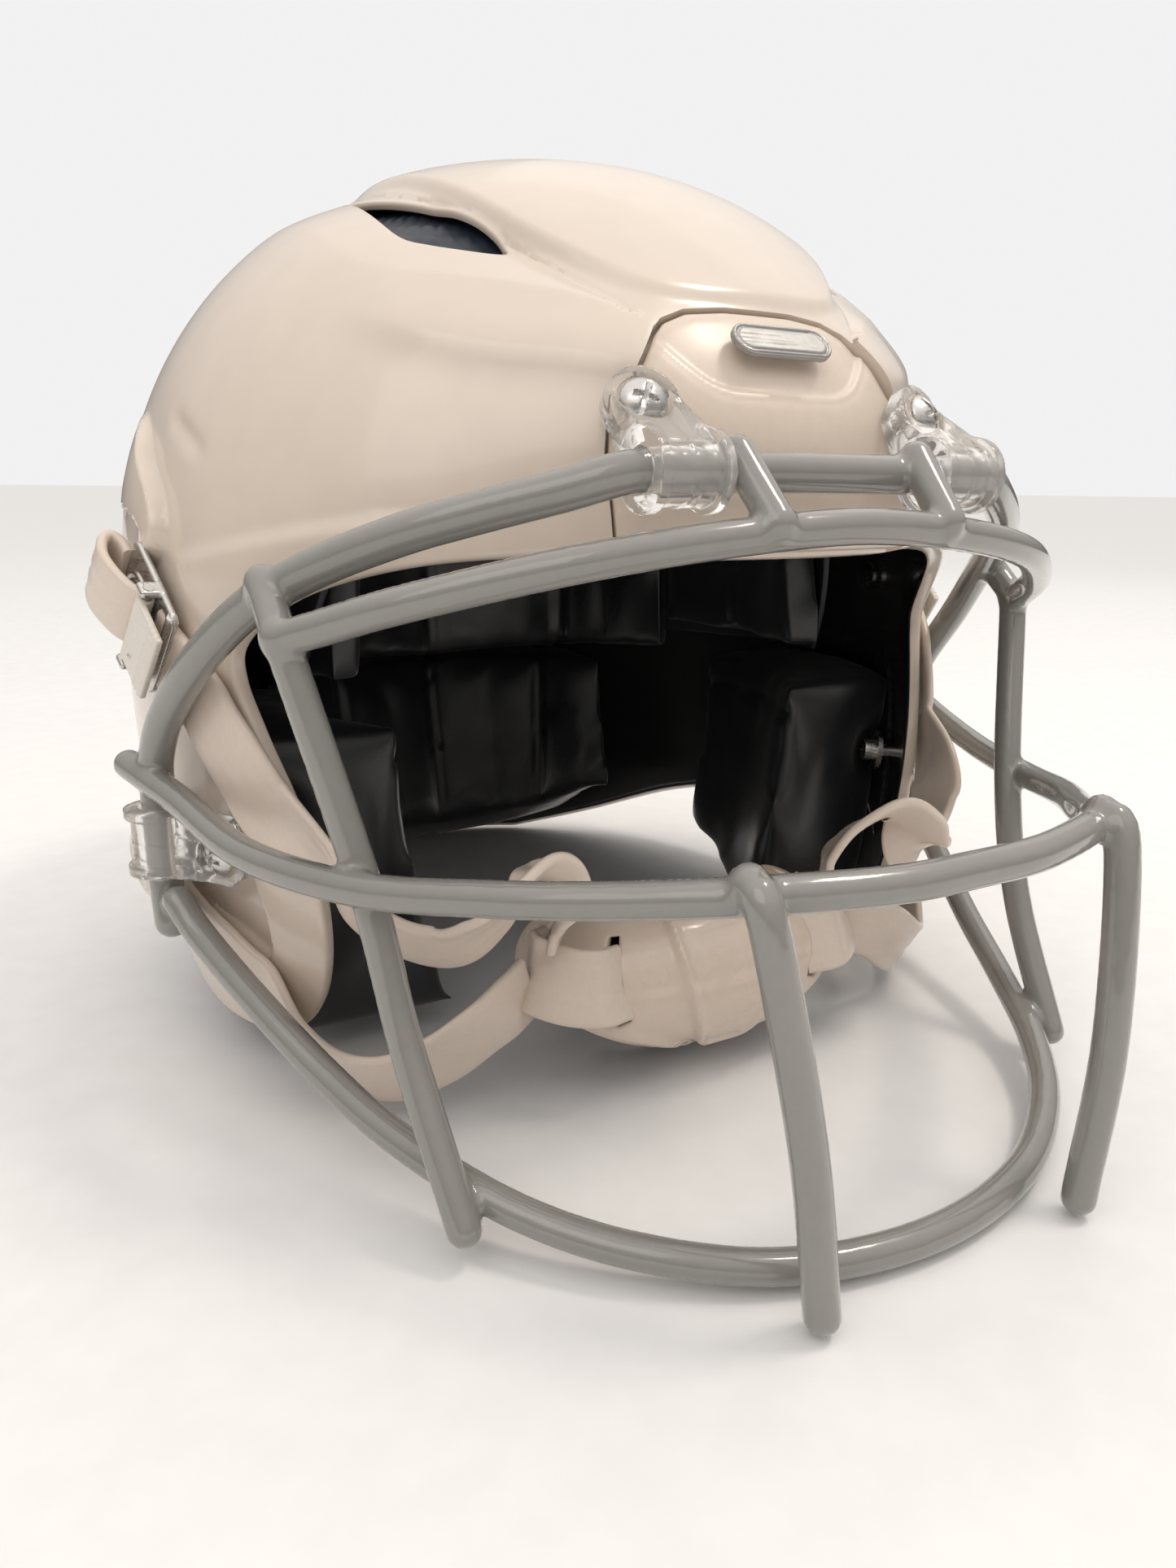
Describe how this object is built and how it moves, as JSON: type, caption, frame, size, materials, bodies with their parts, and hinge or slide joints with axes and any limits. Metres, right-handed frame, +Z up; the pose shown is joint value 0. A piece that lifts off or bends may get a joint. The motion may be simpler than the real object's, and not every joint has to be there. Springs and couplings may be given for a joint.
{
  "type": "american football helmet",
  "caption": "American football helmet with vented ridged shell, wire face cage on clear clips, padded lining and a chin cup on buckled webbing straps.",
  "frame": {"origin": "on the table, under the middle of the helmet's width and length", "axes": "+Z up, -Y towards the face side, +X towards the wearer's left"},
  "size_m": [0.2656, 0.3406, 0.236],
  "materials": {
    "shell_gloss": "warm off-white moulded polycarbonate with a clear gloss coat",
    "bumper_rubber": "satin off-white moulded vinyl",
    "brushed_badge": "brushed, plain",
    "vent_dark": "dark navy inner moulding",
    "cage_coating": "mid grey glossy powder coat over steel wire",
    "clear_clip": "clear moulded polycarbonate",
    "stainless": "bright stainless",
    "white_hardware": "white moulded nylon",
    "webbing": "woven off-white webbing, coated",
    "absorber_rubber": "dark moulded urethane",
    "pad_fabric": "near-black cushioned cover"
  },
  "bodies": {
    "helmet": {"shell": "shell_gloss", "front_bumper": "bumper_rubber", "rear_bumper": "bumper_rubber", "badge": "brushed_badge", "vent_screens": "vent_dark", "facemask": "cage_coating", "top_clip_right": "clear_clip", "top_clip_left": "clear_clip", "side_clip_right": "clear_clip", "side_clip_left": "clear_clip", "clip_screws": "stainless", "clip_nuts": "stainless", "strap_studs": "stainless", "lower_snap_right": "white_hardware", "lower_snap_left": "white_hardware", "upper_strap_right": "webbing", "upper_strap_left": "webbing", "lower_strap_right": "webbing", "lower_strap_left": "webbing", "shock_absorbers": "absorber_rubber", "bonnet": "pad_fabric", "brow_pad": "pad_fabric", "crown_pad": "pad_fabric", "side_pad_right": "pad_fabric", "side_pad_left": "pad_fabric", "rear_pad": "pad_fabric", "neck_pad": "pad_fabric", "jaw_pad_right": "pad_fabric", "jaw_pad_left": "pad_fabric"},
    "buckle_right": {"buckle_right": "stainless", "lever_pin_right": "stainless"},
    "buckle_left": {"buckle_left": "stainless", "lever_pin_left": "stainless"},
    "lever_right": {"buckle_lever_right": "white_hardware"},
    "lever_left": {"buckle_lever_left": "white_hardware"},
    "chin_cup": {"chin_cup": "shell_gloss", "chin_cup_pad": "pad_fabric"}
  },
  "joints": [
    {"name": "buckle_swivel_right", "type": "hinge", "parent": "helmet", "child": "buckle_right", "pos_m": [-0.12036, -0.00552, 0.12289], "axis": [-0.9714, -0.2314, 0.0527], "range_deg": [-10, 10]},
    {"name": "buckle_swivel_left", "type": "hinge", "parent": "helmet", "child": "buckle_left", "pos_m": [0.12036, -0.00552, 0.12289], "axis": [0.9714, -0.2314, 0.0527], "range_deg": [-10, 10]},
    {"name": "lever_open_right", "type": "hinge", "parent": "buckle_right", "child": "lever_right", "pos_m": [-0.12464, -0.01284, 0.11805], "axis": [-0.1882, 0.6159, -0.765], "range_deg": [0, 80]},
    {"name": "lever_open_left", "type": "hinge", "parent": "buckle_left", "child": "lever_left", "pos_m": [0.12464, -0.01284, 0.11805], "axis": [-0.1882, -0.6159, 0.765], "range_deg": [0, 80]},
    {"name": "chin_cup_tilt", "type": "hinge", "parent": "helmet", "child": "chin_cup", "pos_m": [0, -0.05713, 0.045], "axis": [1, 0, 0], "range_deg": [-5, 5]}
  ]
}
